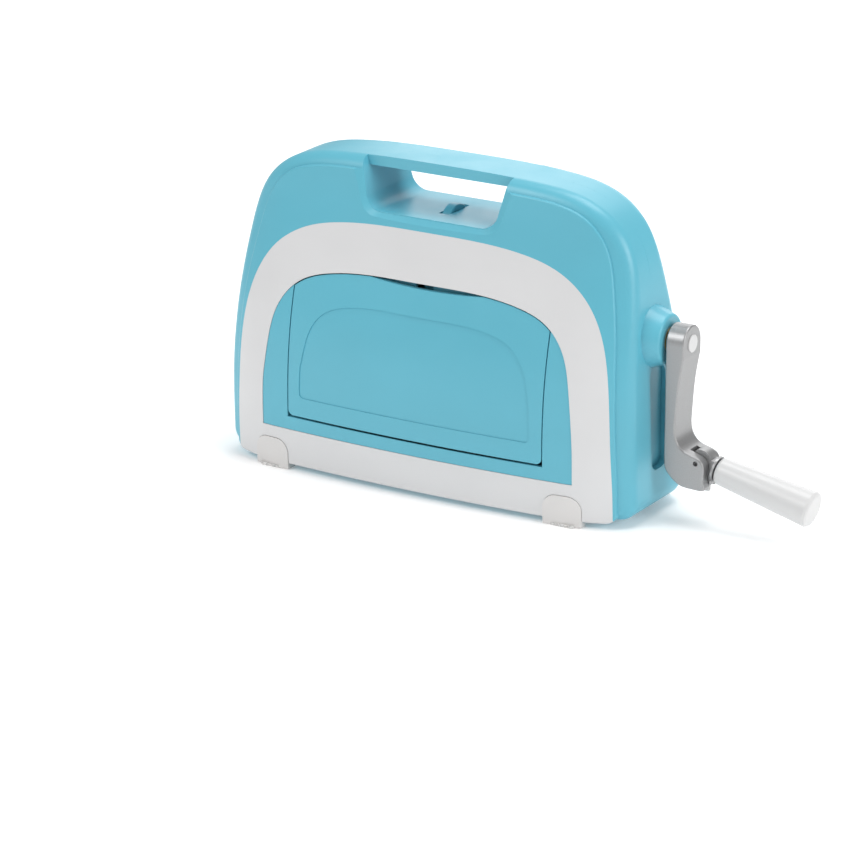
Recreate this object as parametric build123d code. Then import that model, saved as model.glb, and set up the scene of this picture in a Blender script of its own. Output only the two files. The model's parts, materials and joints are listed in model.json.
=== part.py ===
"""Hand-cranked die cutting machine with two fold-down feed tables.

Units are millimetres. X runs along the machine with the crank at +X, Y runs from the front
(-Y) to the rear (+Y), and Z is up. The pieces are drawn round the middle of the housing's
footprint, and written with X measured from the middle of the overall length. The front half of the housing, turned half round Z, gives the rear.
"""
from build123d import *
from math import acos, asin, cos, pi, radians, sin, sqrt, tan
import os

# ---------------------------------------------------------------- driving dimensions
BODY_BOTTOM = 5.0                 # underside of the housing, above the feet
TOP_Z = 254.5                     # highest line of the carry handle
OVERALL_MIDDLE_X = 66.32          # middle of the overall length, with the crank handle out

# One side of each outline, from the bottom up to the middle of the crown: (half width, height).
HOUSING_OUTLINE = [(181, 40), (178.5, 108), (172.5, 178), (157, 223.5), (130, 244), (90, 252.2),
                   (0, TOP_Z)]
CREST_OUTLINE = [(170.5, 30), (168.5, 81), (163, 153), (157.5, 184), (149, 213), (134.5, 231),
                 (112, 240.5), (76, 244.5), (0, 245.5)]
ARCH_OUTER = [(168, 20), (166.5, 60), (161.9, 119), (154.3, 149), (137.8, 175.6), (112, 193),
              (80, 201.5), (0, 205.4)]
ARCH_INNER = [(138.8, 50), (136.9, 84), (133.6, 109), (126.6, 133.5), (110, 152.6), (86, 162),
              (0, 167.5)]
HOUSING_CORNER_R = 14.0
ARCH_SILL_Z = 34.2                # top of the arch frame's bottom rail

# Depth of the front surface from the middle plane, at each height: (height, depth).
FRONT_DEPTH = [(0, 64), (60, 66), (100, 64), (140, 57), (180, 46), (220, 37.2), (262, 34.8)]
SECTION_HEIGHTS = [-12, 10, 35, 60, 85, 110, 135, 160, 185, 210, 235, 270]
BOW_R = 1606.0                    # the front is slightly bowed in plan ...
BOW_HALF = 128.4                  # ... out to here, and then turns more tightly
CORNER_BOW_R = 104.0
CORNER_BOW_DEG = 38.0

PANEL_STEP = 2.0                  # the front panel stands proud of the end walls
EDGE_R = 12.0                     # rounding between the housing front and its end walls and roof
CREST_R = 1.6                     # rounding of the front panel's edge
FRAME_T = 2.6                     # arch frame thickness
PANEL_SINK = 0.5                  # inset panel and feed table sit below the arch frame
WALL = 3.4
FRONT_WALL = 6.2                  # arch frame plus the wall behind it

BED_Z = 56.0                      # level that the plates slide on
NIP_GAP = 19.0                    # between the rollers
ROLLER_R = 18.0
ROLLER_SHAFT_R = 8.0
ROLLER_HALF = 118.0               # half length of a roller tube
BOTTOM_ROLLER_Z = BED_Z + 0.5 - ROLLER_R
TOP_ROLLER_Z = BOTTOM_ROLLER_Z + 2 * ROLLER_R + NIP_GAP

GEAR_MODULE = 2.0
PINION_TEETH = 12
DRIVE_TEETH = 36
CRANK_Z = TOP_ROLLER_Z + GEAR_MODULE * (PINION_TEETH + DRIVE_TEETH) / 2
SYNC_TEETH = 22
SYNC_MODULE = (TOP_ROLLER_Z - BOTTOM_ROLLER_Z) / SYNC_TEETH
TOOTH_BACKLASH = 0.35
PRESSURE_DEG = 20.0

SIDE_FRAME_X = 123.0              # inner face of each steel side frame
SIDE_FRAME_T = 5.0
GEAR_X = 134.0                    # inner face of the gears
GEAR_WIDTH = 11.0
FIT_GAP = 0.05                    # radial clearance of a running fit

HINGE_Y = -57.2                   # hinge line of the front feed table
HINGE_Z = 54.0
HINGE_BARREL_R = BED_Z - HINGE_Z  # level with the bed when the table is down
TABLE_LOW_Z = 46.6                # bottom edge of a closed table
TABLE_SILL_Z = 44.8
DECK_LEAN = 5.5                   # degrees that a closed table's inner face leans back
TABLE_HALF = 113.3
TABLE_GAP = 1.0
HINGE_PIN_R = 1.1

FOOT_X = 130.4
FOOT_HALF = 15.6
FOOT_TOP = 24.5
FOOT_PROUD = 0.8

CARRY_FLOOR_Z = 214.5             # floor of the carry-handle opening
CARRY_TOP_Z = 246.0               # underside of the carry handle
CARRY_BAR_HALF = 21.0             # half depth of the carry handle
LATCH_SLOT = (9.0, 31.0)

BOSS_BASE_R = 23.5
BOSS_END_R = 19.0
BOSS_END_X = 189.0
SHAFT_R = 6.0
ARM_INNER_X = 192.0
ARM_HALF = 14.0
ARM_HUB_X = 207.2
FOLD_X = 219.0                    # hinge of the fold-away handle
FOLD_Z = 52.5
HANDLE_DROOP = 12.4               # degrees that the handle points below level

PARTS = {}
HALF_TURN = Rot(0, 0, 180)


# ---------------------------------------------------------------- helpers
def add(name, shape):
    """Keep a finished piece under its node name."""
    PARTS[name] = shape


def add_pair(name, front):
    """Keep a front piece, and the same piece turned half round Z as the rear one."""
    add("front_" + name, front)
    add("rear_" + name, HALF_TURN * front)


def box(x0, x1, y0, y1, z0, z1):
    """A box between two corners."""
    return Pos((x0 + x1) / 2, (y0 + y1) / 2, (z0 + z1) / 2) * Box(x1 - x0, y1 - y0, z1 - z0)


def rod_x(radius, x0, x1, y=0.0, z=0.0):
    """A cylinder along X."""
    return Pos((x0 + x1) / 2, y, z) * Rot(0, 90, 0) * Cylinder(radius, x1 - x0)


def rod_y(radius, y0, y1, x=0.0, z=0.0):
    """A cylinder along Y."""
    return Pos(x, (y0 + y1) / 2, z) * Rot(90, 0, 0) * Cylinder(radius, y1 - y0)


def rod_z(radius, z0, z1, x=0.0, y=0.0):
    """A cylinder along Z."""
    return Pos(x, y, (z0 + z1) / 2) * Cylinder(radius, z1 - z0)


def group(shapes):
    """Several separate solids in one node."""
    return Compound(children=[solid for shape in shapes for solid in shape.solids()])


def moved_in(crown, inset, count=40):
    """A curve through points of another curve that are moved to its left."""
    points = []
    for step in range(count + 1):
        place = crown @ (step / count)
        run = crown % (step / count)
        points.append((place.X - run.Y * inset, place.Y + run.X * inset))
    return Spline(*points, tangents=((0, 1), (0, -1)))


def crowned_face(side, base_z, corner_r, inset=0.0):
    """A symmetric outline: a flat base, a side that is given, and its mirror image."""
    left = [(-x, z) for x, z in side[:-1]]
    crown = Spline(*(side + left[::-1]), tangents=((0, 1), (0, -1)))
    if inset:
        crown = moved_in(crown, inset)
    first_x, first_z = side[0][0] - inset, side[0][1]
    low = base_z + inset
    frame = [crown,
             Line((-first_x, first_z), (-first_x, low)),
             Line((-first_x, low), (first_x, low)),
             Line((first_x, low), (first_x, first_z))]
    face = make_face(Wire([edge for line in frame for edge in line.edges()]).edges())
    if corner_r:
        face = fillet(face.vertices().group_by(Axis.Y)[0], corner_r)
    return face


def rect_face(x0, x1, z0, z1):
    """A rectangle in the front view."""
    return Pos((x0 + x1) / 2, (z0 + z1) / 2) * Rectangle(x1 - x0, z1 - z0)


def prism(face, front=-80.0, back=0.0):
    """Push a front-view face through from one Y to another."""
    return Pos(0, back, 0) * extrude(Plane.XZ * face, amount=back - front)


# ---------------------------------------------------------------- the front surface
DEPTH_CURVE = Spline(*[(z, d) for z, d in FRONT_DEPTH])


def half_depth(height):
    """Depth of the front surface at the middle of the machine, at one height."""
    low, high = 0.0, 1.0
    target = min(max(height, 0.01), FRONT_DEPTH[-1][0] - 0.01)
    for _ in range(30):
        middle = (low + high) / 2
        if (DEPTH_CURVE @ middle).X < target:
            low = middle
        else:
            high = middle
    return (DEPTH_CURVE @ low).Y


def plan_section(height, inset):
    """Everything behind the bowed front line at one height, well past the middle plane."""
    start = asin(BOW_HALF / BOW_R)
    sweep = radians(CORNER_BOW_DEG)
    depth = -half_depth(height) + inset
    bow_y = BOW_R - BOW_R * cos(start)
    centre_x = BOW_HALF - CORNER_BOW_R * sin(start)
    centre_y = bow_y + CORNER_BOW_R * cos(start)

    def corner_point(angle):
        return (centre_x + CORNER_BOW_R * sin(angle), depth + centre_y - CORNER_BOW_R * cos(angle))

    mid_point = corner_point(start + sweep / 2)
    end = corner_point(start + sweep)
    join = (BOW_HALF, depth + bow_y)

    def left(point):
        return (-point[0], point[1])

    back = 120.0
    lines = [ThreePointArc(left(join), (0, depth), join),
             ThreePointArc(join, mid_point, end),
             Line(end, (end[0], back)),
             Line((end[0], back), (-end[0], back)),
             Line((-end[0], back), left(end)),
             ThreePointArc(left(end), left(mid_point), left(join))]
    wire = Wire([edge for line in lines for edge in line.edges()])
    return Pos(0, 0, height) * Face(wire)


def behind_front(inset):
    """The space behind the front surface, moved back by an inset."""
    return loft([plan_section(height, inset) for height in SECTION_HEIGHTS])


FRONT_HALF = box(-260, 260, -90, 0, -5, 280)
AT_SURFACE = behind_front(0)
HOUSING_FACE = crowned_face(HOUSING_OUTLINE, BODY_BOTTOM, HOUSING_CORNER_R)
CREST_FACE = crowned_face(CREST_OUTLINE, BODY_BOTTOM, 8)
ARCH_FACE = crowned_face(ARCH_OUTER, BODY_BOTTOM - 2, 0)
INNER_FACE = crowned_face(ARCH_INNER, ARCH_SILL_Z, 0)


def front_rim(block):
    """Edges round the outside of a block's front surface."""
    front = [face for face in block.faces() if face.normal_at(face.center()).Y < -0.6]
    inner = [edge for face in front for edge in face.edges()]
    return ShapeList([edge for edge in inner
                      if sum(edge.is_same(other) for other in inner) == 1])


def housing_form():
    """Outer form of the front half: a rounded block with the proud front panel on it."""
    core = prism(HOUSING_FACE, front=-90) & behind_front(PANEL_STEP)
    core = fillet(front_rim(core), EDGE_R)
    panel = (prism(CREST_FACE, front=-90) & AT_SURFACE) & prism(CREST_FACE, -90, -27)
    panel = fillet(front_rim(panel), CREST_R)
    return core + panel


# ---------------------------------------------------------------- carry handle and latch slot
def carry_face(floor_z, floor_half, slope, corner_r, top_z=262.0):
    """Outline of the carry opening in the front view: rounded floor, sides that open upwards."""
    top_half = floor_half + slope * (top_z - floor_z)
    face = make_face(Polyline((-floor_half, floor_z), (floor_half, floor_z), (top_half, top_z),
                              (-top_half, top_z), close=True).edges())
    return fillet(face.vertices().group_by(Axis.Y)[0], corner_r)


CARRY_FACE = carry_face(CARRY_FLOOR_Z, 55.5, 0.24, 14)
DISH_LEAN = 8.4
DISH_DEPTH = 3.2
DISH_ORIGIN_Y = -half_depth(CARRY_FLOOR_Z)


def carry_dish():
    """The sloping band round the carry opening, cut into the leaning front surface."""
    lean = radians(DISH_LEAN)
    outward = (0, -cos(lean), sin(lean))
    surface = Plane(origin=(0, DISH_ORIGIN_Y, CARRY_FLOOR_Z), x_dir=(1, 0, 0), z_dir=outward)
    rim_above = 1.2
    rim = carry_face(-6.2, 65.0, 0.30, 20, top_z=60)
    well = carry_face(-0.4, 55.0, 0.24, 14, top_z=60)
    return loft([surface.offset(rim_above) * rim, surface.offset(-DISH_DEPTH) * well])


def carry_cut():
    """Everything that the carry opening takes out of the front half."""
    well = prism(CARRY_FACE, front=-90, back=-CARRY_BAR_HALF)
    tunnel = prism(CARRY_FACE & rect_face(-90, 90, 200, CARRY_TOP_Z), front=-60, back=1)
    return carry_dish() + well + tunnel


# ---------------------------------------------------------------- housing shells
TABLE_HOLE = rect_face(-TABLE_HALF - TABLE_GAP, TABLE_HALF + TABLE_GAP, TABLE_SILL_Z, 180) & INNER_FACE
FOOT_FACE = fillet(rect_face(-FOOT_HALF, FOOT_HALF, 0, FOOT_TOP).vertices()
                   .group_by(Axis.Y)[-1], 11)
BASE_HALF = (148.0, 44.0)
BASE_TOP = 7.6
SCREW_PLACES = [(-141, 201), (-97, 224), (97, 224), (141, 201)]
SCOOP = dict(depth_x=175.5, width=24.0, height=82.0, centre_z=79.0, corner_r=9.0)


def feet_prism(grow, front, back):
    """Both front feet as blocks in the front view, grown all round."""
    face = offset(FOOT_FACE, grow) if grow else FOOT_FACE
    blocks = [prism(Pos(x, 0) * face, front, back) for x in (-FOOT_X, FOOT_X)]
    return blocks[0] + blocks[1]


def boss_block(side):
    """Cone on an end wall that carries the crank shaft."""
    start_x = 168.0
    cone = Cone(BOSS_BASE_R + 3, BOSS_END_R, BOSS_END_X - start_x)
    cone = fillet(cone.edges().sort_by(Axis.Z)[-1], 2.5)
    right = Pos((start_x + BOSS_END_X) / 2, 0, CRANK_Z) * Rot(0, 90, 0) * cone
    return right if side > 0 else HALF_TURN * right


def scoop_block(side, grow, start_x, end_x):
    """Finger scoop in an end wall, behind the crank arm."""
    outline = RectangleRounded(SCOOP["width"] + 2 * grow, SCOOP["height"] + 2 * grow,
                               SCOOP["corner_r"] + grow)
    plane = Plane(origin=(start_x, 0, SCOOP["centre_z"]), x_dir=(0, 1, 0), z_dir=(1, 0, 0))
    right = extrude(plane * outline, amount=end_x - start_x)
    return right if side > 0 else HALF_TURN * right


def front_cavity(crank_side):
    """Hollow of the front half."""
    inside = crowned_face(HOUSING_OUTLINE, BODY_BOTTOM, HOUSING_CORNER_R - WALL, inset=WALL)
    hollow = prism(inside, front=-90, back=1) & behind_front(FRONT_WALL)
    hollow = fillet(front_rim(hollow), EDGE_R - WALL)
    hollow -= prism(offset(CARRY_FACE, 3.0), front=-90, back=2)
    hollow -= boss_block(crank_side)
    hollow -= scoop_block(crank_side, 3.0, 168, 190)
    for x, z in SCREW_PLACES:
        hollow -= rod_y(4.6, -90, 2, x, z)
    for side in (-1, 1):
        hollow -= hinge_lug(side)
    return hollow


def hinge_lug(side):
    """Block beside the feed opening that holds a hinge pin."""
    inner = TABLE_HALF + TABLE_GAP
    outer = inner + 8
    return box(min(side * inner, side * outer), max(side * inner, side * outer),
               -64, -54, 44, 58)


def hinge_pins():
    """Two pins that a feed table turns on."""
    start, end = 104.0, 121.0
    return [rod_x(HINGE_PIN_R, min(side * start, side * end), max(side * start, side * end),
                  HINGE_Y, HINGE_Z) for side in (-1, 1)]


def turned(points):
    """Solid of revolution about X from (x, radius) points."""
    line = Polyline((points[0][0], 0), *points, (points[-1][0], 0), close=True)
    return revolve(make_face(line.edges()), axis=Axis.X)


def table_sweep():
    """Space that the bottom edge of a feed table needs when it swings."""
    drop = HINGE_Z - TABLE_LOW_Z
    reach = half_depth(TABLE_LOW_Z) - PANEL_SINK + HINGE_Y
    half = TABLE_HALF + TABLE_GAP
    profile = []
    for step in range(17):
        x = -half + 2 * half * step / 16
        profile.append((x, sqrt((reach - x * x / (2 * BOW_R)) ** 2 + drop ** 2) + 0.4))
    return Pos(0, HINGE_Y, HINGE_Z) * turned(profile)


def housing_half(form, crank_side):
    """Front shell with the crank boss on one side, before the holes that only one half has."""
    shell = form + (boss_block(crank_side) & FRONT_HALF)
    shell -= scoop_block(crank_side, 0, SCOOP["depth_x"], 195)
    shell -= front_cavity(crank_side)
    shell -= (form & prism(ARCH_FACE, -90, 0)) - behind_front(FRAME_T)
    shell -= prism(TABLE_HOLE, -90, -30)
    shell -= carry_cut()
    shell -= feet_prism(0.25, -90, -50)
    bore = rod_x(10.0, 160, 195, 0, CRANK_Z)
    shell -= bore if crank_side > 0 else HALF_TURN * bore
    shell -= table_sweep()
    shell -= box(-BASE_HALF[0], BASE_HALF[0], -BASE_HALF[1], 1, 0, 9)
    shell -= box(-LATCH_SLOT[0] / 2, LATCH_SLOT[0] / 2, -LATCH_SLOT[1] / 2, 1, 195, 216)
    for pin in hinge_pins():
        shell -= pin
    return shell


FORM = housing_form()


# ---------------------------------------------------------------- trim, feet and base
def arch_frame():
    """White arch that frames the feed table, let into the housing front."""
    ring = prism(ARCH_FACE - INNER_FACE, -90, 0)
    frame = (FORM & ring) - behind_front(FRAME_T) - feet_prism(0.25, -90, 0)
    return frame


def inset_panel():
    """U-shaped panel inside the arch, beside and below the feed table."""
    skin = behind_front(PANEL_SINK) - behind_front(FRAME_T)
    opening = crowned_face(ARCH_INNER, ARCH_SILL_Z, 0, inset=0.2)
    panel = skin & prism(opening - TABLE_HOLE, -90, 0)
    return panel - table_sweep()


def foot(x):
    """Foot block that stands in a notch at the front bottom edge of the housing."""
    block = prism(Pos(x, 0) * FOOT_FACE, -90, -50.3) & behind_front(-FOOT_PROUD)
    sole = box(x - FOOT_HALF, x + FOOT_HALF, -90, 0, -1, 0.5)
    return block - sole - foot_pad(x)


def foot_pad(x):
    """Rubber pad under a foot."""
    pad = Pos(x, -56.5, 1.2) * Box(22, 8, 2.4)
    return fillet(pad.edges().filter_by(Axis.Z), 3)


def add_trim():
    """Arches, inset panels, feet and pads, front and rear."""
    add_pair("arch_frame", arch_frame())
    add_pair("inset_panel", inset_panel())
    for side, x in (("left", -FOOT_X), ("right", FOOT_X)):
        add_pair(side + "_foot", foot(x))
    pads = [foot_pad(x) for x in (-FOOT_X, FOOT_X)]
    add("foot_pads", group(pads + [HALF_TURN * pad for pad in pads]))


def housing_screw_rear(x, z, radius, head_radius, head_y, tip_y=-14.0):
    """A housing screw, or the hole for it, driven in from the rear."""
    return rod_y(radius, tip_y, head_y, x, z) + rod_y(head_radius, head_y - 2.6, head_y, x, z)


def add_housing():
    """Two housing shells, parted at the middle plane, with the screws that join them."""
    front = housing_half(FORM, 1)
    rear = HALF_TURN * housing_half(FORM, -1)
    heads_y = {x: half_depth(z) - 10.0 for x, z in SCREW_PLACES}
    for x, z in SCREW_PLACES:
        head_y = heads_y[x]
        front -= rod_y(1.7, -14, 1, x, z)
        rear -= rod_y(1.7, -1, head_y, x, z) + rod_y(3.7, head_y - 2.6, 90, x, z)
    screws = [housing_screw_rear(x, z, 1.7, 3.5, heads_y[x]) for x, z in SCREW_PLACES]
    add("front_housing_shell", front)
    add("rear_housing_shell", rear)
    add("housing_screws", group([screw_slot(screw, heads_y[x], x, z) for screw, (x, z)
                                 in zip(screws, SCREW_PLACES)]))


def screw_slot(screw, head_y, x, z):
    """Cross recess in a screw head that faces the rear."""
    cross = box(x - 2, x + 2, head_y - 1.2, head_y + 1, z - 0.4, z + 0.4)
    cross += box(x - 0.4, x + 0.4, head_y - 1.2, head_y + 1, z - 2, z + 2)
    return screw - cross


# ---------------------------------------------------------------- feed tables
def table_face(inset=0.0):
    """Front view of a feed table: straight sides, a top that follows the arch."""
    half = TABLE_HALF - inset
    blank = rect_face(-half, half, TABLE_LOW_Z + inset, 180)
    blank &= crowned_face(ARCH_INNER, ARCH_SILL_Z, 0, inset=TABLE_GAP + inset)
    blank = fillet(blank.vertices().group_by(Axis.Y)[0], 4.5)
    finger_r = 500.0
    return blank - Pos(8, 163.3 + finger_r) * Circle(finger_r + inset)


def beyond_deck(offset_y):
    """Everything on the inner side of a closed table's leaning deck plane."""
    inner = box(-200, 200, offset_y, 120, -60, 200)
    return Pos(0, HINGE_Y, HINGE_Z) * Rot(-DECK_LEAN, 0, 0) * inner


DECK_OFFSET = BED_Z - HINGE_Z
DECK_T = 2.0
EMBOSS = [(103, 66), (101.5, 92), (96, 115), (82, 133), (62, 140), (0, 142.5)]


def feed_table():
    """Outer shell of the fold-down feed table, with its hinge barrel."""
    shell = behind_front(PANEL_SINK) & prism(table_face(), -90, 0)
    shell -= beyond_deck(DECK_OFFSET - DECK_T)
    pocket_face = table_face(3.5) & rect_face(-200, 200, HINGE_Z + 9, 200)
    skin = 2.2
    shell -= behind_front(PANEL_SINK + skin) & prism(pocket_face, -90, 0)
    shell -= behind_front(PANEL_SINK + skin) & box(-130, 130, -90, 0, 40, HINGE_Z - 2)
    emboss = prism(crowned_face(EMBOSS, 62, 4), -90, 0) - behind_front(PANEL_SINK + 0.7)
    shell -= emboss
    shell += rod_x(HINGE_BARREL_R, -TABLE_HALF, TABLE_HALF, HINGE_Y, HINGE_Z)
    for side in (-1, 1):
        shell -= rod_x(HINGE_PIN_R + FIT_GAP, min(side * 103, side * 115),
                       max(side * 103, side * 115), HINGE_Y, HINGE_Z)
    return shell


CATCH = (6.0, 156.0, 160.0)


def table_deck():
    """Flat inner plate of a feed table: level with the bed when the table is down."""
    face = table_face(0.4) & rect_face(-200, 200, HINGE_Z + 2.6, 200)
    plate = prism(face, -90, 0) & beyond_deck(DECK_OFFSET - DECK_T)
    plate -= beyond_deck(DECK_OFFSET)
    half, low, high = CATCH
    catch = box(-half, half, -52, -40.4, low, high) & beyond_deck(DECK_OFFSET - DECK_T)
    return plate + catch


def add_tables():
    """Feed tables, decks and hinge pins."""
    add_pair("feed_table", feed_table())
    add_pair("table_deck", table_deck())
    add_pair("hinge_pins", group(hinge_pins()))


# ---------------------------------------------------------------- chassis inside the housing
def side_frame(side):
    """Steel plate that carries the rollers and, on the right, the crank shaft."""
    x0, x1 = SIDE_FRAME_X, SIDE_FRAME_X + SIDE_FRAME_T
    outline = Pos(0, (BASE_TOP + 122) / 2) * Rectangle(84, 122 - BASE_TOP)
    head = Pos(0, CRANK_Z) * Circle(17)
    outline += make_hull(head.edges() + (Pos(0, 110) * Rectangle(70, 6)).edges())
    plane = Plane(origin=(x0, 0, 0), x_dir=(0, 1, 0), z_dir=(1, 0, 0))
    plate = extrude(plane * outline, amount=x1 - x0)
    for z in (BOTTOM_ROLLER_Z, TOP_ROLLER_Z):
        plate -= rod_x(11.0, x0 - 1, x1 + 1, 0, z)
    plate -= rod_x(9.0, x0 - 1, x1 + 1, 0, CRANK_Z)
    for y, z in TIE_PLACES:
        plate -= rod_x(3.0, x0 - 1, x1 + 1, y, z)
    for y in (-28, 28):
        flange = box(x0 - 14, x0, y - 12, y + 12, BASE_TOP, BASE_TOP + 3)
        plate += flange - rod_z(2.0, 0, 20, x0 - 7, y)
    return plate if side > 0 else mirror(plate, about=Plane.YZ)


TIE_PLACES = [(-34, 24), (34, 24), (-32, 114), (32, 114)]


def tie_rod(y, z):
    """Rod between the side frames, with a stepped end in each."""
    middle = rod_x(5.0, -SIDE_FRAME_X, SIDE_FRAME_X, y, z)
    end_x = SIDE_FRAME_X + SIDE_FRAME_T
    return middle + rod_x(3.0, -end_x, end_x, y, z)


def flanged_bush(outer_r, inner_r, x0, x1, z, flange_r, flange_t=2.0):
    """Flanged bush, its flange on the outer face."""
    body = rod_x(outer_r, x0, x1, 0, z) + rod_x(flange_r, x1, x1 + flange_t, 0, z)
    return body - rod_x(inner_r, x0 - 1, x1 + flange_t + 1, 0, z)


def add_chassis():
    """Base plate, side frames, tie rods, bushes, bed plates and feed mouths."""
    base = box(-BASE_HALF[0], BASE_HALF[0], -BASE_HALF[1], BASE_HALF[1], BODY_BOTTOM, BASE_TOP)
    screw_places = [(x, y) for x in (-116, 116) for y in (-28, 28)]
    for x, y in screw_places:
        base -= rod_z(2.0, 0, 20, x, y)
        base -= Pos(x, y, BODY_BOTTOM + 0.9) * Cone(4.2, 2.0, 1.8)
    add("base_plate", base)
    add("base_screws", group([base_screw(x, y) for x, y in screw_places]))
    add("left_side_frame", side_frame(-1))
    add("right_side_frame", side_frame(1))
    add("tie_rods", group([tie_rod(y, z) for y, z in TIE_PLACES]))
    end_x = SIDE_FRAME_X + SIDE_FRAME_T
    nuts = []
    for y, z in TIE_PLACES:
        for side in (-1, 1):
            hexagon = extrude(Plane(origin=(side * end_x, y, z), x_dir=(0, 1, 0),
                                    z_dir=(side, 0, 0)) * RegularPolygon(5.5, 6), amount=1.8)
            nuts.append(hexagon)
    add("tie_rod_nuts", group(nuts))
    bushes = []
    for z in (BOTTOM_ROLLER_Z, TOP_ROLLER_Z):
        bush = flanged_bush(11.0, ROLLER_SHAFT_R + FIT_GAP, SIDE_FRAME_X, end_x, z, 13.5)
        bushes += [bush, mirror(bush, about=Plane.YZ)]
    add("roller_bushes", group(bushes))
    crank_bush = flanged_bush(9.0, SHAFT_R + FIT_GAP, SIDE_FRAME_X, end_x, CRANK_Z, 11.0)
    add("crank_frame_bush", crank_bush)
    boss_bush = rod_x(10.0, 168, BOSS_END_X + 0.6, 0, CRANK_Z)
    add("crank_boss_bush", boss_bush - rod_x(SHAFT_R + FIT_GAP, 160, 200, 0, CRANK_Z))
    add_pair("bed_plate", box(-122.8, 122.8, -53.8, -14.5, BED_Z - 2, BED_Z))
    add_pair("feed_mouth", feed_mouth())


def base_screw(x, y):
    """Countersunk screw up into a frame's foot flange."""
    shank = rod_z(2.0, BODY_BOTTOM, BASE_TOP + 4, x, y)
    head = Pos(x, y, BODY_BOTTOM + 0.9) * Cone(4.2, 2.0, 1.8)
    slot = box(x - 3, x + 3, y - 0.5, y + 0.5, BODY_BOTTOM - 1, BODY_BOTTOM + 0.8)
    return shank + head - slot


MOUTH_LOW = BED_Z + NIP_GAP + 2
MOUTH_HIGH = 149.0
MOUTH_TOP = 172.0


def feed_mouth():
    """Plate behind a closed table that covers the rollers above the feed gap."""
    offset_y = DECK_OFFSET + 1.8
    face = rect_face(-121, 121, MOUTH_LOW, MOUTH_TOP)
    sheet = prism(face, -90, 0) & beyond_deck(offset_y)
    sheet -= beyond_deck(offset_y + 2.5)
    side_room = behind_front(FRONT_WALL + 0.3)
    narrow = prism(rect_face(-112.5, 112.5, MOUTH_LOW, MOUTH_HIGH), -90, 0)
    latch_window = box(-7.5, 7.5, -90, 0, MOUTH_HIGH + 3, MOUTH_TOP + 5)
    return (sheet & side_room) + (sheet & narrow) - latch_window


# ---------------------------------------------------------------- rollers and gears
def involute_gear(teeth, module, width, bore_r, phase_deg):
    """Spur gear along X from GEAR_X, its first tooth turned by a phase from +Y."""
    pitch_r = module * teeth / 2
    base_r = pitch_r * cos(radians(PRESSURE_DEG))
    tip_r = pitch_r + 0.9 * module
    root_r = pitch_r - 1.2 * module
    half_tooth = pi / (2 * teeth) - TOOTH_BACKLASH / (2 * pitch_r)
    involute = radians(PRESSURE_DEG)
    at_pitch = tan(involute) - involute
    flank = []
    start_r = max(base_r, root_r + 0.05)
    steps = 4
    for step in range(steps + 1):
        radius = start_r + (tip_r - start_r) * step / steps
        angle = acos(min(1.0, base_r / radius))
        flank.append((radius, half_tooth + at_pitch - (tan(angle) - angle)))
    if root_r < start_r - 0.1:
        flank.insert(0, (root_r, flank[0][1] + 0.02))
    points = []
    for tooth in range(teeth):
        middle = 2 * pi * tooth / teeth + radians(phase_deg)
        for radius, angle in flank:
            points.append((radius * cos(middle - angle), radius * sin(middle - angle)))
        for radius, angle in reversed(flank):
            points.append((radius * cos(middle + angle), radius * sin(middle + angle)))
    face = make_face(Polyline(*points, close=True).edges()) - Circle(bore_r)
    plane = Plane(origin=(GEAR_X, 0, 0), x_dir=(0, 1, 0), z_dir=(1, 0, 0))
    return extrude(plane * face, amount=width)


def retaining_ring(inner_r, x, z):
    """Open ring clipped round a shaft."""
    ring = rod_x(inner_r + 3.5, x, x + 1.2, 0, z) - rod_x(inner_r, x - 1, x + 2, 0, z)
    return ring - box(x - 1, x + 2, -2, 2, z, z + inner_r + 6)


def roller_shaft(z, left_x, right_x):
    """Shaft of a roller."""
    return rod_x(ROLLER_SHAFT_R, left_x, right_x, 0, z)


def roller_tube(z):
    """Roller sleeve on its shaft."""
    tube = rod_x(ROLLER_R, -ROLLER_HALF, ROLLER_HALF, 0, z)
    tube = chamfer(tube.edges(), 1.0)
    return tube - rod_x(ROLLER_SHAFT_R, -200, 200, 0, z)


def add_rollers():
    """Two rollers, the gears that turn them and the rings that keep them in place."""
    gear_end = GEAR_X + GEAR_WIDTH
    shaft_end = gear_end + 3
    add("top_roller_tube", roller_tube(TOP_ROLLER_Z))
    add("top_roller_shaft", roller_shaft(TOP_ROLLER_Z, -shaft_end, shaft_end))
    add("bottom_roller_tube", roller_tube(BOTTOM_ROLLER_Z))
    add("bottom_roller_shaft", roller_shaft(BOTTOM_ROLLER_Z, -shaft_end, SIDE_FRAME_X + 9.5))
    up_phase = 90.0
    drive = involute_gear(DRIVE_TEETH, GEAR_MODULE, GEAR_WIDTH, ROLLER_SHAFT_R, up_phase)
    add("roller_drive_gear", Pos(0, 0, TOP_ROLLER_Z) * drive)
    top_sync = involute_gear(SYNC_TEETH, SYNC_MODULE, GEAR_WIDTH, ROLLER_SHAFT_R, -90.0)
    low_phase = 90.0 + 180.0 / SYNC_TEETH
    low_sync = involute_gear(SYNC_TEETH, SYNC_MODULE, GEAR_WIDTH, ROLLER_SHAFT_R, low_phase)
    add("top_sync_gear", mirror(Pos(0, 0, TOP_ROLLER_Z) * top_sync, about=Plane.YZ))
    add("bottom_sync_gear", mirror(Pos(0, 0, BOTTOM_ROLLER_Z) * low_sync, about=Plane.YZ))
    add("top_retaining_rings",
        group([retaining_ring(ROLLER_SHAFT_R, gear_end, TOP_ROLLER_Z),
               retaining_ring(ROLLER_SHAFT_R, -gear_end - 1.2, TOP_ROLLER_Z)]))
    add("bottom_retaining_rings",
        group([retaining_ring(ROLLER_SHAFT_R, SIDE_FRAME_X + 7.3, BOTTOM_ROLLER_Z),
               retaining_ring(ROLLER_SHAFT_R, -gear_end - 1.2, BOTTOM_ROLLER_Z)]))


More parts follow.
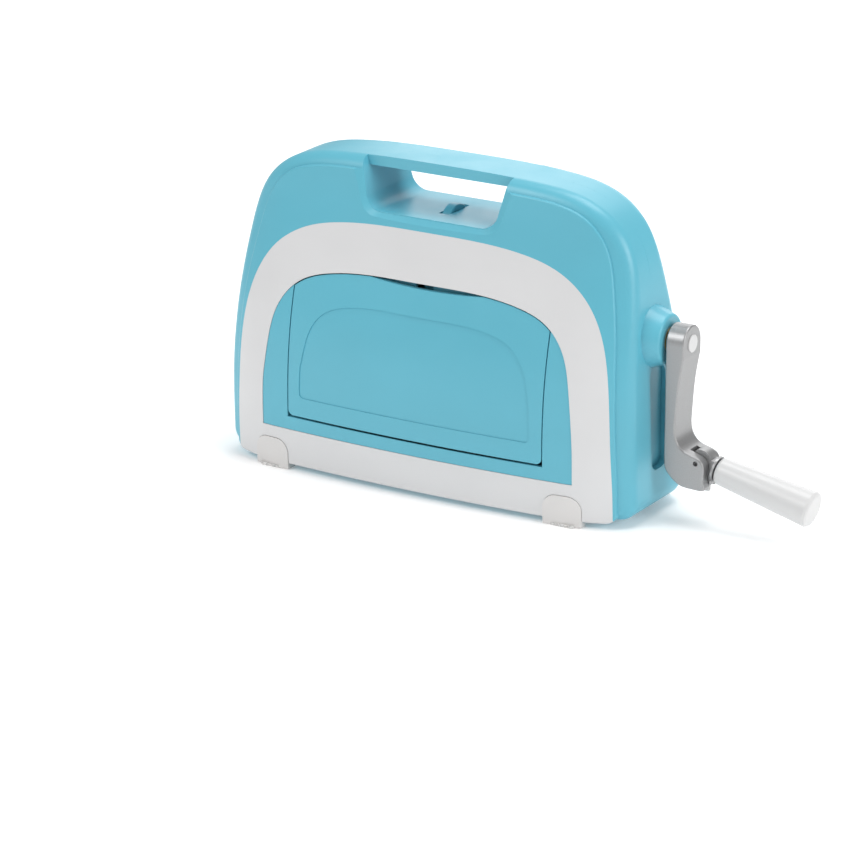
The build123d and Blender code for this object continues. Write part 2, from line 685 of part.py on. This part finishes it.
# ---------------------------------------------------------------- crank
EAR_END_X = 226.0
SLOT_HALF = 5.5
SLOT_START_X = 210.0
PIN_R = 2.0
HANDLE_DROP = 3.7                 # the grip's line passes this far below the fold hinge
GRIP_NEAR_R = 10.6
GRIP_FAR_R = 14.0
GRIP_NEAR_S = 13.4
GRIP_LENGTH = 81.0
SPINDLE_R = 4.0
BUTTON_X = 222.6
BUTTON_R = 2.4
BUTTON_LOW_Z = 28.0


def crank_arm():
    """Cast crank arm: hub, thin waist and forked end."""
    outer = Spline((ARM_HUB_X, 132), (203.3, 108), (201.5, 84), (203.4, 66), (209.5, 60.2),
                   (217, 57.8), tangents=((-0.2, -1), (1, -0.3)))
    nose = Spline((217, 57.8), (223.8, 54.3), (EAR_END_X, 47), (225.6, 37), (219, 31.4),
                  tangents=((1, -0.3), (-1, 0.05)))
    heel = Spline((219, 31.4), (204, 33.6), (195.2, 41), (ARM_INNER_X, 54),
                  tangents=((-1, 0.05), (0, 1)))
    back = Line((ARM_INNER_X, 54), (ARM_INNER_X, CRANK_Z + ARM_HALF))
    top = Line((ARM_INNER_X, CRANK_Z + ARM_HALF), (ARM_HUB_X, CRANK_Z + ARM_HALF))
    front = Line((ARM_HUB_X, CRANK_Z + ARM_HALF), (ARM_HUB_X, 132))
    side = make_face([edge for line in (outer, nose, heel, back, top, front)
                      for edge in line.edges()])
    arm = prism(side, -ARM_HALF, ARM_HALF)
    low = 25.0
    outline = Pos(0, (CRANK_Z + low) / 2) * Rectangle(2 * ARM_HALF, CRANK_Z - low)
    outline += Pos(0, CRANK_Z) * Circle(ARM_HALF)
    plane = Plane(origin=(180, 0, 0), x_dir=(0, 1, 0), z_dir=(1, 0, 0))
    arm = arm & extrude(plane * outline, amount=60)
    arm = fillet(arm.edges().filter_by(lambda edge: edge.length > 12), 1.3)
    arm -= box(SLOT_START_X, 240, -SLOT_HALF, SLOT_HALF, 20, 70)
    arm -= rod_x(SHAFT_R, 180, ARM_HUB_X - 3, 0, CRANK_Z)
    arm -= rod_x(7.0, ARM_HUB_X - 1.2, ARM_HUB_X + 1, 0, CRANK_Z)
    arm -= rod_y(PIN_R, -20, 20, FOLD_X, FOLD_Z)
    return arm


def along_handle(distance, shape):
    """Put a shape that is made along +X from its own origin on the handle's line."""
    start = (FOLD_X, 0, FOLD_Z - HANDLE_DROP)
    return Pos(*start) * Rot(0, HANDLE_DROOP, 0) * Pos(distance, 0, 0) * shape


def handle_tongue():
    """Fold-away tongue between the fork's ears, with the collar that the grip turns against."""
    half = SLOT_HALF - 0.5
    eye = rod_y(8.5, -half, half, FOLD_X, FOLD_Z)
    neck = along_handle(0, box(-2, GRIP_NEAR_S - 1.6, -half, half, -7, 7))
    foot_block = box(FOLD_X - 3, BUTTON_X + 4, -half, half, 32.5, FOLD_Z)
    foot_block = fillet(foot_block.edges().filter_by(Axis.Y).group_by(Axis.Z)[0], 2.5)
    collar = along_handle(GRIP_NEAR_S - 2.6, rod_x(10.2, 0, 1.8))
    tongue = eye + neck + foot_block + collar
    tongue -= rod_y(PIN_R + FIT_GAP, -20, 20, FOLD_X, FOLD_Z)
    tongue -= rod_z(BUTTON_R + FIT_GAP, 20, 43, BUTTON_X, 0)
    tongue -= along_handle(0, rod_x(SPINDLE_R, 2, 20))
    return tongue


def handle_grip():
    """Slightly tapered grip that turns on the spindle, with rounded ends."""
    profile = [(0, 8.6), (0.9, GRIP_NEAR_R - 0.7), (2.4, GRIP_NEAR_R), (30, 11.9), (60, 13.2),
               (GRIP_LENGTH - 2.6, GRIP_FAR_R), (GRIP_LENGTH - 0.8, GRIP_FAR_R - 0.8),
               (GRIP_LENGTH, GRIP_FAR_R - 2.6)]
    grip = turned(profile) - rod_x(SPINDLE_R + FIT_GAP, -1, GRIP_LENGTH - 8)
    return along_handle(GRIP_NEAR_S, grip)


def coil_spring(wire_r, coil_r, turns, pitch, z):
    """Compression spring standing on Z."""
    helix = Helix(pitch=pitch, height=pitch * turns, radius=coil_r)
    start = Plane(origin=helix @ 0, z_dir=helix % 0)
    return Pos(0, 0, z) * sweep(start * Circle(wire_r), path=helix)


def add_crank():
    """Crank shaft, arm, folding handle, grip and lock button."""
    shaft = rod_x(SHAFT_R, SIDE_FRAME_X - 3, ARM_HUB_X - 3, 0, CRANK_Z)
    add("crank_shaft", shaft)
    pinion_phase = -90.0 + 180.0 / PINION_TEETH
    pinion = involute_gear(PINION_TEETH, GEAR_MODULE, GEAR_WIDTH, SHAFT_R, pinion_phase)
    add("crank_pinion", Pos(0, 0, CRANK_Z) * pinion)
    add("crank_retaining_ring", retaining_ring(SHAFT_R, SIDE_FRAME_X - 1.3, CRANK_Z))
    collar = rod_x(9.0, BOSS_END_X + 0.9, ARM_INNER_X, 0, CRANK_Z)
    add("crank_collar", collar - rod_x(SHAFT_R, 180, 200, 0, CRANK_Z))
    add("crank_arm", crank_arm())
    cap = rod_x(6.9, ARM_HUB_X - 1.2, ARM_HUB_X + 0.9, 0, CRANK_Z)
    add("crank_cap", fillet(cap.edges().sort_by(Axis.X)[-1], 0.7))
    add("handle_pin", rod_y(PIN_R, -ARM_HALF + 3.5, ARM_HALF - 3.5, FOLD_X, FOLD_Z))
    add("handle_tongue", handle_tongue())
    spindle = along_handle(0, rod_x(SPINDLE_R, 11.0, GRIP_NEAR_S + GRIP_LENGTH - 10))
    add("handle_spindle", spindle)
    add("handle_grip", handle_grip())
    button = rod_z(BUTTON_R, BUTTON_LOW_Z, 37, BUTTON_X, 0)
    add("handle_lock_button", fillet(button.edges().sort_by(Axis.Z)[0], 1.0))
    spring = coil_spring(0.35, 1.6, 4, 1.3, 37.35)
    add("lock_button_spring", Pos(BUTTON_X, 0, 0) * spring)


# ---------------------------------------------------------------- table latch
LATCH_Z = 203.0
LATCH_R = 16.0
LATCH_HALF = 4.0


def latch_toggle():
    """Rocking latch: a thumb disc in the carry opening and two arms down to the tables."""
    disc = rod_x(LATCH_R, -LATCH_HALF, LATCH_HALF, 0, LATCH_Z)
    disc &= box(-10, 10, -LATCH_R, LATCH_R, LATCH_Z - 3, LATCH_Z + 20)
    disc = fillet(disc.edges().filter_by(lambda edge: edge.length > 40), 1.2)
    hub = rod_x(5.0, -LATCH_HALF, LATCH_HALF, 0, LATCH_Z)
    latch = disc + hub
    for side in (-1, 1):
        arm = make_face(Polyline((0, LATCH_Z + 3), (side * 37.5, 177), (side * 37.5, 158),
                                 (side * 34.5, 158), (side * 34.5, 173), (0, LATCH_Z - 5),
                                 close=True).edges())
        plane = Plane(origin=(-LATCH_HALF, 0, 0), x_dir=(0, 1, 0), z_dir=(1, 0, 0))
        latch += extrude(plane * arm, amount=2 * LATCH_HALF)
    return latch - rod_x(2.0 + FIT_GAP, -10, 10, 0, LATCH_Z)


def add_latch():
    """Latch toggle and its pin."""
    add("latch_toggle", latch_toggle())
    add("latch_pin", rod_x(2.0, -12, 12, 0, LATCH_Z))


# ---------------------------------------------------------------- build and write
def build():
    """Make every piece and write each to its own file."""
    add_housing()
    add_trim()
    add_tables()
    add_chassis()
    add_rollers()
    add_crank()
    add_latch()
    os.makedirs("parts", exist_ok=True)
    for name, shape in PARTS.items():
        export_step(Pos(-OVERALL_MIDDLE_X, 0, 0) * shape, "parts/" + name + ".step")


build()
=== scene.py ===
"""Looks of the hand-cranked die cutting machine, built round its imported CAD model.

Units are metres. X runs towards the crank, -Y is the front, and Z is up from the table top.
"""
import json

import bpy
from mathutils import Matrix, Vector

CAMERA_PLACE = Vector((1.48348, -2.5803, 1.0752))
CAMERA_TARGET = Vector((-0.16582, 0.1199, -0.0130))
CAMERA_LENS_MM = 173.3
SENSOR_MM = 36.0

# Linear colours, red green blue.
BLUE = (0.112, 0.430, 0.545)
WHITE = (0.640, 0.640, 0.645)
FOOT_WHITE = (0.650, 0.635, 0.625)
GRIP_WHITE = (0.600, 0.600, 0.600)
RUBBER = (0.550, 0.545, 0.535)
CAST_SILVER = (0.360, 0.362, 0.366)
STEEL = (0.520, 0.530, 0.545)
DARK_STEEL = (0.220, 0.222, 0.230)
BRONZE = (0.440, 0.300, 0.120)
FLOOR_LOW = (0.930, 0.930, 0.930)
FLOOR_HIGH = (0.950, 0.950, 0.950)

FLOOR_SIZE = 24.0
FLOOR_GLOW = 0.16
WORLD_STRENGTH = 0.37
# Noise values mostly fall between these two.
NOISE_LOW = 0.3
NOISE_HIGH = 0.7
PLASTIC_GRAIN = 1400.0
PLASTIC_GRAIN_DEPTH = 0.00003
RUBBER_GRAIN = 900.0
RUBBER_GRAIN_DEPTH = 0.00008
METAL_LINE_DEPTH = 0.00002
# Each light: name, place, the point it faces, size across in metres, power in watts.
LIGHTS = (
    ("key", (-1.4, -2.2, 2.2), (0, 0, 0.12), 1.4, 39.0),
    ("fill", (2.6, -0.3, 1.2), (0, 0, 0.12), 1.2, 30.0),
    ("top", (0.2, 0.5, 2.6), (0, 0, 0.0), 1.5, 40.0),
    ("back", (-0.7, 2.5, 1.3), (0, 0, 0.15), 2.0, 20.0),
)


# ---------------------------------------------------------------- node helpers
class Nodes:
    """A material's node tree, with short calls to add and join nodes."""

    def __init__(self, name):
        self.material = bpy.data.materials.new(name)
        self.material.use_nodes = True
        self.tree = self.material.node_tree
        self.shader = self.tree.nodes["Principled BSDF"]
        self.place = self.add("ShaderNodeTexCoord").outputs["Object"]

    def add(self, kind, **values):
        """A new node, with its named sockets or properties set."""
        node = self.tree.nodes.new(kind)
        for name, value in values.items():
            if hasattr(node, name):
                setattr(node, name, value)
            else:
                node.inputs[name.replace("_", " ").title()].default_value = value
        return node

    def join(self, out_socket, in_socket):
        """Link one socket to another."""
        self.tree.links.new(out_socket, in_socket)

    def noise(self, scale, detail=2.0, stretch=(1, 1, 1)):
        """Noise over the object's own coordinates, in features per metre."""
        mapping = self.add("ShaderNodeMapping")
        mapping.inputs["Scale"].default_value = stretch
        self.join(self.place, mapping.inputs["Vector"])
        noise = self.add("ShaderNodeTexNoise", scale=scale, detail=detail)
        self.join(mapping.outputs["Vector"], noise.inputs["Vector"])
        return noise.outputs["Fac"]

    def ranged(self, value, low, high):
        """A noise value spread over a range."""
        node = self.add("ShaderNodeMapRange")
        ends = (("From Min", NOISE_LOW), ("From Max", NOISE_HIGH), ("To Min", low), ("To Max", high))
        for name, number in ends:
            node.inputs[name].default_value = number
        self.join(value, node.inputs["Value"])
        return node.outputs["Result"]

    def two_tone(self, value, first, second):
        """A colour between two, by a noise value."""
        ramp = self.add("ShaderNodeValToRGB")
        ends = ramp.color_ramp.elements
        ends[0].position = NOISE_LOW
        ends[1].position = NOISE_HIGH
        ends[0].color = (*first, 1)
        ends[1].color = (*second, 1)
        self.join(value, ramp.inputs["Fac"])
        return ramp.outputs["Color"]

    def bump(self, heights, distance, strength):
        """Bump from a height value."""
        node = self.add("ShaderNodeBump")
        node.inputs["Distance"].default_value = distance
        node.inputs["Strength"].default_value = strength
        self.join(heights, node.inputs["Height"])
        self.join(node.outputs["Normal"], self.shader.inputs["Normal"])

    def set(self, **values):
        """Uniform numbers on the shader's own sockets."""
        for name, value in values.items():
            self.shader.inputs[name.replace("_", " ")].default_value = value


def shade(color, factor):
    """A colour made a little lighter or darker."""
    return tuple(min(1.0, channel * factor) for channel in color)


def moulded_plastic(name, color, roughness, coat=0.0):
    """Moulded plastic: fine spark-eroded grain, faint flow marks in colour and gloss."""
    nodes = Nodes(name)
    flow = nodes.noise(9.0, 3.0, (1, 1, 2.2))
    nodes.join(nodes.two_tone(flow, shade(color, 0.975), shade(color, 1.02)),
               nodes.shader.inputs["Base Color"])
    gloss = nodes.noise(38.0, 4.0)
    nodes.join(nodes.ranged(gloss, roughness - 0.04, roughness + 0.05),
               nodes.shader.inputs["Roughness"])
    nodes.bump(nodes.noise(PLASTIC_GRAIN, 2.0), PLASTIC_GRAIN_DEPTH, 0.35)
    nodes.set(Specular_IOR_Level=0.45, Coat_Weight=coat, Coat_Roughness=0.22)
    return nodes.material


def metal(name, color, roughness, stretch, scale, metallic=1.0):
    """Metal with drawn or ground lines, or an even cast grain."""
    nodes = Nodes(name)
    lines = nodes.noise(scale, 4.0, stretch)
    nodes.join(nodes.two_tone(lines, shade(color, 0.86), shade(color, 1.10)),
               nodes.shader.inputs["Base Color"])
    nodes.join(nodes.ranged(lines, roughness - 0.07, roughness + 0.09),
               nodes.shader.inputs["Roughness"])
    nodes.bump(lines, METAL_LINE_DEPTH, 0.5)
    nodes.set(Metallic=metallic)
    return nodes.material


def rubber(name, color):
    """Matte rubber with a fine moulded texture."""
    nodes = Nodes(name)
    grain = nodes.noise(RUBBER_GRAIN, 3.0)
    nodes.join(nodes.two_tone(grain, shade(color, 0.7), shade(color, 1.5)),
               nodes.shader.inputs["Base Color"])
    nodes.join(nodes.ranged(grain, 0.72, 0.9), nodes.shader.inputs["Roughness"])
    nodes.bump(grain, RUBBER_GRAIN_DEPTH, 0.6)
    return nodes.material


# ---------------------------------------------------------------- the frame and its finishes
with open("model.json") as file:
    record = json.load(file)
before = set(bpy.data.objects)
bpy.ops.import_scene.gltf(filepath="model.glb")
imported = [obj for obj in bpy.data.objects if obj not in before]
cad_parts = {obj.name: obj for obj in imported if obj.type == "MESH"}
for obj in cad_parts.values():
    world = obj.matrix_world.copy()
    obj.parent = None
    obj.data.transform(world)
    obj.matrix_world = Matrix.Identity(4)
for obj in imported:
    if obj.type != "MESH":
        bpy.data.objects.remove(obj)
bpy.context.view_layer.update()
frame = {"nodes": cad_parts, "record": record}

FINISHES = {
    "blue_housing": moulded_plastic("blue_plastic", BLUE, 0.34),
    "white_trim": moulded_plastic("white_plastic", WHITE, 0.36),
    "foot_plastic": moulded_plastic("foot_plastic", FOOT_WHITE, 0.45),
    "white_grip": moulded_plastic("grip_plastic", GRIP_WHITE, 0.33, coat=0.15),
    "pad_rubber": rubber("pad_rubber", RUBBER),
    "steel_plate": metal("rolled_sheet", STEEL, 0.38, (2, 60, 60), 22.0),
    "steel_bar": metal("ground_bar", STEEL, 0.26, (90, 4, 4), 26.0),
    "gear_steel": metal("gear_steel", DARK_STEEL, 0.40, (4, 40, 40), 20.0),
    "fasteners": metal("zinc_plate", STEEL, 0.32, (1, 1, 1), 420.0),
    "bush_bronze": metal("bearing_bronze", BRONZE, 0.45, (1, 1, 1), 900.0),
    "cast_arm": metal("silver_lacquer", CAST_SILVER, 0.40, (1, 1, 1), 1500.0, metallic=0.75),
}
for part in frame["record"]["subparts"]:
    node = frame["nodes"][part["node"]]
    for slot in node.material_slots:
        slot.material = FINISHES[part["material_slot"]]


# ---------------------------------------------------------------- floor, light and camera
def backdrop():
    """A wide pale floor."""
    bpy.ops.mesh.primitive_plane_add(size=FLOOR_SIZE, location=(0, 0, 0))
    floor = bpy.context.object
    floor.name = "floor"
    nodes = Nodes("paper_floor")
    tone = nodes.noise(3.0, 2.0)
    nodes.join(nodes.two_tone(tone, FLOOR_LOW, FLOOR_HIGH),
               nodes.shader.inputs["Base Color"])
    nodes.set(Roughness=0.9, Specular_IOR_Level=0.1, Emission_Color=(1, 1, 1, 1),
              Emission_Strength=FLOOR_GLOW)
    floor.data.materials.append(nodes.material)


def area_light(name, place, target, size, power):
    """A soft square light that points at a target."""
    light = bpy.data.lights.new(name, "AREA")
    light.size = size
    light.energy = power
    lamp = bpy.data.objects.new(name, light)
    bpy.context.collection.objects.link(lamp)
    lamp.location = place
    lamp.rotation_euler = (Vector(target) - Vector(place)).to_track_quat("-Z", "Y").to_euler()


def camera():
    """The camera, at the measured place."""
    lens = bpy.data.cameras.new("camera")
    lens.lens = CAMERA_LENS_MM
    lens.sensor_width = SENSOR_MM
    lens.clip_end = 100.0
    view = bpy.data.objects.new("camera", lens)
    bpy.context.collection.objects.link(view)
    view.location = CAMERA_PLACE
    view.rotation_euler = (CAMERA_TARGET - CAMERA_PLACE).to_track_quat("-Z", "Y").to_euler()
    bpy.context.scene.camera = view


backdrop()
for name, place, target, size, power in LIGHTS:
    area_light(name, place, target, size, power)
world = bpy.data.worlds.new("studio")
world.use_nodes = True
world.node_tree.nodes["Background"].inputs["Color"].default_value = (1, 1, 1, 1)
world.node_tree.nodes["Background"].inputs["Strength"].default_value = WORLD_STRENGTH
bpy.context.scene.world = world
bpy.context.scene.view_settings.view_transform = "Standard"
camera()
